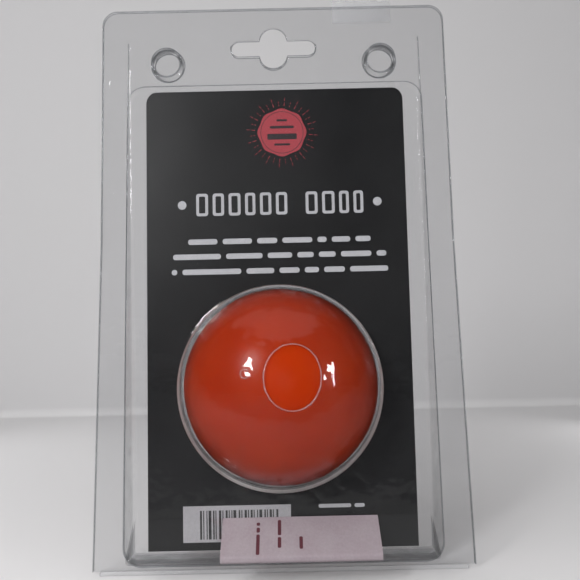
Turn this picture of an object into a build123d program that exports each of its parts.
from build123d import *
import math
import os

# Gel stress ball in its hang-sell pack: an orange ball held between two clear
# thermoformed shells, with a folded printed card around it.
# Frame: +X to the right, +Y to the back, +Z up. The front of the pack faces -Y.
# The origin is at the middle of the bottom edge, in the plane where the two
# shells meet.

# ---- Driving dimensions (mm) ----
SHEET = 0.5                # thickness of the formed plastic
PARTING_GAP = 0.05         # each flange stops this far from the parting plane

PACK_HEIGHT = 209.0
HALF_WIDTH_TOP = 64.0      # flange half width at the top
HALF_WIDTH_WAIST = 65.5    # where the sides begin to flare
WAIST_HEIGHT = 120.0
WAIST_BLEND = 600.0        # large radius that eases the flare
HALF_WIDTH_FOOT = 69.5
TOP_CORNER_RADIUS = 5.5

HINGE_RADIUS = 0.8         # round bead that carries the living hinge
HINGE_HALF_LENGTH = 67.0
HINGE_CLEARANCE = 0.1

FRONT_RIM = (2.6, 203.0, 59.0, 54.8)    # tray mouth: bottom, top, half widths there
TRAY_DRAFT = 40.0          # slope of the tray's walls, in degrees
TRAY_DEPTH_TOP = 0.56      # the tray runs out level with the rim's face
TRAY_DEPTH_CREASE = 6.0
TRAY_CORNER_RADIUS = 7.0
WALL_ROUNDING = 0.8

CREASE_HEIGHT = 22.0       # the foot's ramp starts here
FOOT_DEPTH = 17.0
FOOT_TOP_EDGE = 12.5
FOOT_LOWER_EDGE = 10.2
FOOT_UNDERCUT = 0.6        # fall of the underside towards the back
FOOT_HALF_WIDTH = 53.2
FOOT_ROUNDING = 1.3

REAR_RIM = (2.6, 181.0, 59.0, 55.8)     # the rear tray stops just above the card
REAR_DEPTH_TOP = 2.0
REAR_DEPTH_FOOT = 5.0

BALL_RADIUS = 35.6
BALL_HEIGHT = 67.7         # centre of the ball above the bottom edge
SKIN_THICKNESS = 2.0
GEL_CLEARANCE = 0.05
PLUG_RADIUS = 4.0
PLUG_CLEARANCE = 0.05
PLUG_AZIMUTH = 35.0        # the filling plug points back and down
BALL_SHIFT = 0.3           # the loose ball lies a little to the right in its pocket
DOME_RADIUS = 36.6
DOME_BLEND = 1.6

THUMB_HOLE_WIDTH = 18.0
THUMB_HOLE_HEIGHT = 20.4
THUMB_HOLE_OFFSET_X = 4.5
THUMB_HOLE_OFFSET_Z = 6.4

HANG_HOLE_WIDTH = 32.0
HANG_HOLE_SLOT = 6.4
HANG_HOLE_HEIGHT = 16.0
HANG_HOLE_LOBE = 10.5
HANG_HOLE_Z = 193.8

SNAP_X = 39.5
SNAP_Z = 187.5
SNAP_BASE_RADIUS = 6.5
SNAP_TOP_RADIUS = 5.5
SNAP_HEIGHT = 3.5
SNAP_CLEARANCE = 0.2

CARD_WIDTH = 96.0
CARD_BOTTOM = 10.6
CARD_TOP = 178.0
CARD_BOARD = 0.4
CARD_CLEARANCE = 0.12      # between the front panel and the tray it leans on
CARD_REAR_TOP = 0.7        # depth of the rear panel at the fold and at its lower edge
CARD_REAR_FOOT = 4.1
CARD_FOLD_RADIUS = 0.6
CARD_CORNER_RADIUS = 4.5
WINDOW_RADIUS = 37.4
WINDOW_HEIGHT = 67.2

LABEL_THICKNESS = 0.07
LABEL_GAP = 0.02
BARCODE_WIDTH = 38.4
BARCODE_HEIGHT = 12.6
BARCODE_X = -16.3
BARCODE_Z = 19.7
CAUTION_LEFT = -21.2
CAUTION_RIGHT = 33.6
CAUTION_REACH = 10.8       # the label starts this far behind the foot's front
CAUTION_TUCK = 4.0         # how far it turns under the foot

TAPE_WIDTH = 22.0
TAPE_X = 33.5
TAPE_LEG = 5.8
TAPE_FIN = 2.8

# ---- Derived values ----
PAST_PARTING = 3.0         # how far the tray's form runs past the parting plane
TRAY_FLAT_FROM = 15.0      # between these heights no edge across the face is rounded
TRAY_FLAT_TO = 190.0
FLANGE_BOTTOM = 2 * HINGE_RADIUS + HINGE_CLEARANCE
CUT_REACH = 120.0          # longer than any cut needs to be


def tray_block(rim, depth_top, depth_foot, inset):
    """Shallow tray towards -Y with sloping walls and a face that deepens downwards.

    rim is (bottom height, top height, bottom half width, top half width) at the parting plane.
    """
    bottom, top, wide, narrow = rim
    corners = [(-wide, bottom), (wide, bottom), (narrow, top), (-narrow, top)]
    outline = make_face(Polyline(*corners, close=True))
    outline = fillet(outline.vertices(), TRAY_CORNER_RADIUS)
    slope = math.radians(TRAY_DRAFT)
    outline = offset(outline, amount=PAST_PARTING * math.tan(slope) - inset / math.cos(slope))
    reach = PAST_PARTING + depth_foot + 0.5
    walls = Pos(0, PAST_PARTING, 0) * extrude(Plane.XZ * outline, amount=reach, taper=TRAY_DRAFT)
    face = [
        (PAST_PARTING, -9.0),
        (inset - depth_foot, -9.0),
        (inset - depth_foot, CREASE_HEIGHT),
        (inset - depth_top, top),
        (inset - depth_top, top + 9.0),
        (PAST_PARTING, top + 9.0),
    ]
    wedge = extrude(Plane.YZ * make_face(Polyline(*face, close=True)), amount=90.0, both=True)
    block = walls & wedge
    rim_edges = [e for e in block.edges() if e.bounding_box().max.Y < -0.01]
    rim_edges = [e for e in rim_edges if not is_level_line(e)]
    return fillet(rim_edges, WALL_ROUNDING - inset)


def is_level_line(edge):
    """True for the faint lines across the tray's face where its slope changes."""
    box = edge.bounding_box()
    return box.size.X > 90 and TRAY_FLAT_FROM < box.center().Z < TRAY_FLAT_TO


def foot_block(inset):
    """Wedge-shaped foot: a ramp, a short upright lip and a nearly level underside."""
    outline = [
        (-2.0, FOOT_LOWER_EDGE - FOOT_UNDERCUT),
        (-FOOT_DEPTH, FOOT_LOWER_EDGE),
        (-FOOT_DEPTH, FOOT_TOP_EDGE),
        (-2.0, ramp_height(-2.0)),
    ]
    face = make_face(Polyline(*outline, close=True))
    if inset:
        face = offset(face, amount=-inset, kind=Kind.INTERSECTION)
    block = extrude(Plane.YZ * face, amount=FOOT_HALF_WIDTH - inset, both=True)
    front = [e for e in block.edges() if e.bounding_box().max.Y < -2.5 - inset or is_side(e)]
    return fillet(front, FOOT_ROUNDING - inset)


def is_side(edge):
    """True for the foot's edges that run front to back."""
    return edge.bounding_box().size.Y > 1.0


def ramp_height(y):
    """Height of the ramp's surface at a depth."""
    slope = (CREASE_HEIGHT - FOOT_TOP_EDGE) / (FOOT_DEPTH - TRAY_DEPTH_CREASE)
    return FOOT_TOP_EDGE + slope * (y + FOOT_DEPTH)


def dome(inset):
    """Half of the round pocket for the ball."""
    whole = Pos(0, 0, BALL_HEIGHT) * Sphere(DOME_RADIUS - inset)
    keep = Pos(0, -CUT_REACH / 2, BALL_HEIGHT) * Box(CUT_REACH, CUT_REACH, CUT_REACH)
    return whole & keep


def with_dome(tray, inset):
    """Join the round pocket to a tray and blend the seam."""
    body = tray + dome(inset)
    seam = [e for e in body.edges() if is_dome_seam(e)]
    return fillet(seam, DOME_BLEND + inset)


def is_dome_seam(edge):
    """True for the round edge where the pocket leaves the tray's face."""
    box = edge.bounding_box()
    round_enough = box.size.X > 1.8 * (DOME_RADIUS - 2)
    return round_enough and box.max.Y < -0.8 and abs(box.center().Z - BALL_HEIGHT) < 2.0


def flange():
    """Flat rim of the front shell, flaring towards the foot."""
    side = [
        (HALF_WIDTH_FOOT, FLANGE_BOTTOM),
        (HALF_WIDTH_WAIST, WAIST_HEIGHT),
        (HALF_WIDTH_TOP, PACK_HEIGHT),
    ]
    mirrored = [(-x, z) for x, z in reversed(side)]
    face = make_face(Polyline(*side, *mirrored, close=True))
    top = [v for v in face.vertices() if v.Y > PACK_HEIGHT - 1]
    face = fillet(top, TOP_CORNER_RADIUS)
    waist = [v for v in face.vertices() if abs(v.Y - WAIST_HEIGHT) < 1]
    face = fillet(waist, WAIST_BLEND)
    return Pos(0, -PARTING_GAP, 0) * extrude(Plane.XZ * face, amount=SHEET)


def hang_hole():
    """Round-ended slot with a taller middle, cut right through."""
    shape = SlotOverall(HANG_HOLE_WIDTH, HANG_HOLE_SLOT)
    shape += SlotOverall(HANG_HOLE_HEIGHT, HANG_HOLE_LOBE, rotation=90)
    return extrude(Plane.XZ * Pos(0, HANG_HOLE_Z) * shape, amount=CUT_REACH, both=True)


def thumb_hole():
    """Oval opening in the front pocket, cut along Y."""
    oval = Ellipse(THUMB_HOLE_WIDTH / 2, THUMB_HOLE_HEIGHT / 2)
    centre = Pos(THUMB_HOLE_OFFSET_X, BALL_HEIGHT + THUMB_HOLE_OFFSET_Z)
    return extrude(Plane.XZ * centre * oval, amount=CUT_REACH)


def snap_cone(side, base_y, tip_y, base_radius, tip_radius):
    """Round tapered boss along Y at one of the two snap positions."""
    height = abs(base_y - tip_y)
    cone = Cone(base_radius, tip_radius, height, align=(Align.CENTER, Align.CENTER, Align.MIN))
    return Pos(side * SNAP_X, base_y, SNAP_Z) * (Rot(90, 0, 0) * cone)


def header_depth():
    """Depth of the front tray's face at the height of the snaps."""
    top = FRONT_RIM[1]
    run = (top - SNAP_Z) / (top - CREASE_HEIGHT)
    return TRAY_DEPTH_TOP + run * (TRAY_DEPTH_CREASE - TRAY_DEPTH_TOP)


def front_half_space():
    """Everything in front of the parting gap."""
    return Pos(0, -CUT_REACH / 2 - PARTING_GAP, 100) * Box(2 * CUT_REACH, CUT_REACH, 300)


def front_form(inset):
    """Solid whose skin is the front tray, its foot, its pocket and its snap caps."""
    tray = tray_block(FRONT_RIM, TRAY_DEPTH_TOP, TRAY_DEPTH_CREASE, inset)
    body = with_dome(tray + foot_block(inset), inset)
    tip_y = inset - header_depth() - SNAP_HEIGHT
    for side in (-1, 1):
        body += snap_cone(side, 0, tip_y, SNAP_BASE_RADIUS - inset, SNAP_TOP_RADIUS - inset)
    return body


def rear_form(inset):
    """Solid whose skin is the rear tray and its pocket, drawn towards -Y."""
    tray = tray_block(REAR_RIM, REAR_DEPTH_TOP, REAR_DEPTH_FOOT, inset)
    return with_dome(tray, inset)


def front_shell():
    """Front half of the pack, with the pocket, the foot and the snap caps."""
    shell = flange() + (front_form(0) & front_half_space())
    shell -= front_form(SHEET)
    shell -= hang_hole()
    return shell - thumb_hole()


def back_shell():
    """Rear half of the pack, with its own pocket and the two snap studs."""
    shell = flange() + (rear_form(0) & front_half_space())
    shell -= rear_form(SHEET)
    shell = mirror(shell, about=Plane.XZ)
    tip_y = SHEET + SNAP_CLEARANCE - header_depth() - SNAP_HEIGHT
    rim = SNAP_BASE_RADIUS - SHEET - SNAP_CLEARANCE
    tip = SNAP_TOP_RADIUS - SHEET - SNAP_CLEARANCE
    base_y = PARTING_GAP + SHEET
    for side in (-1, 1):
        shell += snap_cone(side, base_y, tip_y, rim, tip)
    for side in (-1, 1):
        shell -= snap_cone(side, base_y, tip_y + SHEET, rim - SHEET, tip - SHEET)
    return shell - hang_hole()


def hinge_bead():
    """Round bead along the bottom edge on which the front shell swings."""
    bar = Cylinder(HINGE_RADIUS, 2 * HINGE_HALF_LENGTH)
    return Pos(0, 0, HINGE_RADIUS) * (Rot(0, 90, 0) * bar)


def ball_centre():
    """Place of the ball's centre."""
    return Pos(BALL_SHIFT, 0, BALL_HEIGHT)


def plug_axis():
    """Turns +Z to the direction of the filling plug, behind and below the ball."""
    return ball_centre() * Rot(-(180 - PLUG_AZIMUTH), 0, 0)


def ball_wall():
    """Hollow sphere of the ball's rubber."""
    return Sphere(BALL_RADIUS) - Sphere(BALL_RADIUS - SKIN_THICKNESS)


def plug_cylinder(radius):
    """Bore or plug through the wall of the ball, along +Z."""
    return Pos(0, 0, BALL_RADIUS) * Cylinder(radius, 4 * SKIN_THICKNESS)


def ball_skin():
    """Soft rubber skin with the filling hole."""
    return ball_centre() * ball_wall() - plug_axis() * plug_cylinder(PLUG_RADIUS + PLUG_CLEARANCE)


def ball_plug():
    """Plug that closes the filling hole, flush with the skin."""
    return plug_axis() * (ball_wall() & plug_cylinder(PLUG_RADIUS))


def ball_gel():
    """Thick gel that fills the ball."""
    return ball_centre() * Sphere(BALL_RADIUS - SKIN_THICKNESS - GEL_CLEARANCE)


def tray_inner_y(z):
    """Depth of the front tray's inner face at a height."""
    top = FRONT_RIM[1]
    run = (top - z) / (top - CREASE_HEIGHT)
    return SHEET - TRAY_DEPTH_TOP - run * (TRAY_DEPTH_CREASE - TRAY_DEPTH_TOP)


def insert_card():
    """Printed card, folded along its top edge and spread below, with a window in each panel."""
    low = CARD_BOTTOM - 10.0
    spread = (CARD_REAR_FOOT - CARD_REAR_TOP) / (CARD_TOP - CARD_BOTTOM)
    outline = [
        (tray_inner_y(low) + CARD_CLEARANCE, low),
        (tray_inner_y(CARD_TOP) + CARD_CLEARANCE, CARD_TOP),
        (CARD_REAR_TOP, CARD_TOP),
        (CARD_REAR_TOP + spread * (CARD_TOP - low), low),
    ]
    wedge = make_face(Polyline(*outline, close=True))
    fold = [v for v in wedge.vertices() if v.Y > CARD_TOP - 1]
    wedge = fillet(fold, CARD_FOLD_RADIUS)
    hollow = offset(wedge, amount=-CARD_BOARD)
    board = extrude(Plane.YZ * (wedge - hollow), amount=CARD_WIDTH / 2, both=True)
    window = Pos(0, 0, WINDOW_HEIGHT) * (Rot(90, 0, 0) * Cylinder(WINDOW_RADIUS, 40))
    return (board & card_silhouette()) - window


def card_silhouette():
    """Front outline of the card, rounded at the top corners."""
    height = CARD_TOP - CARD_BOTTOM
    face = Pos(0, CARD_BOTTOM + height / 2) * Rectangle(CARD_WIDTH, height)
    top = [v for v in face.vertices() if v.Y > CARD_TOP - 1]
    face = fillet(top, CARD_CORNER_RADIUS)
    return extrude(Plane.XZ * face, amount=20, both=True)


def barcode_label():
    """Paper label on the front of the card, tilted with it."""
    tilt = math.degrees(math.atan2(tray_inner_y(100) - tray_inner_y(0), 100))
    face_y = tray_inner_y(BARCODE_Z) + CARD_CLEARANCE
    centre_y = face_y - LABEL_GAP - LABEL_THICKNESS / 2
    label = Box(BARCODE_WIDTH, LABEL_THICKNESS, BARCODE_HEIGHT)
    return Pos(BARCODE_X, centre_y, BARCODE_Z) * Rot(-tilt, 0, 0) * label


def caution_label():
    """Paper label on the foot's ramp that wraps round the lip to the underside."""
    sleeve = foot_block(-LABEL_GAP - LABEL_THICKNESS) - foot_block(-LABEL_GAP)
    centre_x = (CAUTION_LEFT + CAUTION_RIGHT) / 2
    width = CAUTION_RIGHT - CAUTION_LEFT
    reach = 2 * CAUTION_REACH
    on_ramp = Pos(centre_x, -FOOT_DEPTH, CREASE_HEIGHT) * Box(width, reach, reach)
    turned_under = Pos(centre_x, -FOOT_DEPTH, FOOT_LOWER_EDGE) * Box(width, 2 * CAUTION_TUCK, 4.0)
    return sleeve & (on_ramp + turned_under)


def seal_tape(side):
    """Half of the slit sealing tape; side is -1 for the front, +1 for the rear."""
    face_y = side * (PARTING_GAP + SHEET)
    leg_y = face_y + side * (LABEL_GAP + LABEL_THICKNESS / 2)
    leg_top = PACK_HEIGHT + TAPE_FIN
    height = TAPE_LEG + TAPE_FIN
    return Pos(TAPE_X, leg_y, leg_top - height / 2) * Box(TAPE_WIDTH, LABEL_THICKNESS, height)


NODES = {
    "front_shell": front_shell,
    "back_shell": back_shell,
    "hinge_bead": hinge_bead,
    "ball_skin": ball_skin,
    "ball_plug": ball_plug,
    "ball_gel": ball_gel,
    "insert_card": insert_card,
    "barcode_label": barcode_label,
    "caution_label": caution_label,
    "seal_tape_front": lambda: seal_tape(-1),
    "seal_tape_rear": lambda: seal_tape(1),
}

os.makedirs("parts", exist_ok=True)
for name, build in NODES.items():
    export_step(build(), f"parts/{name}.step")
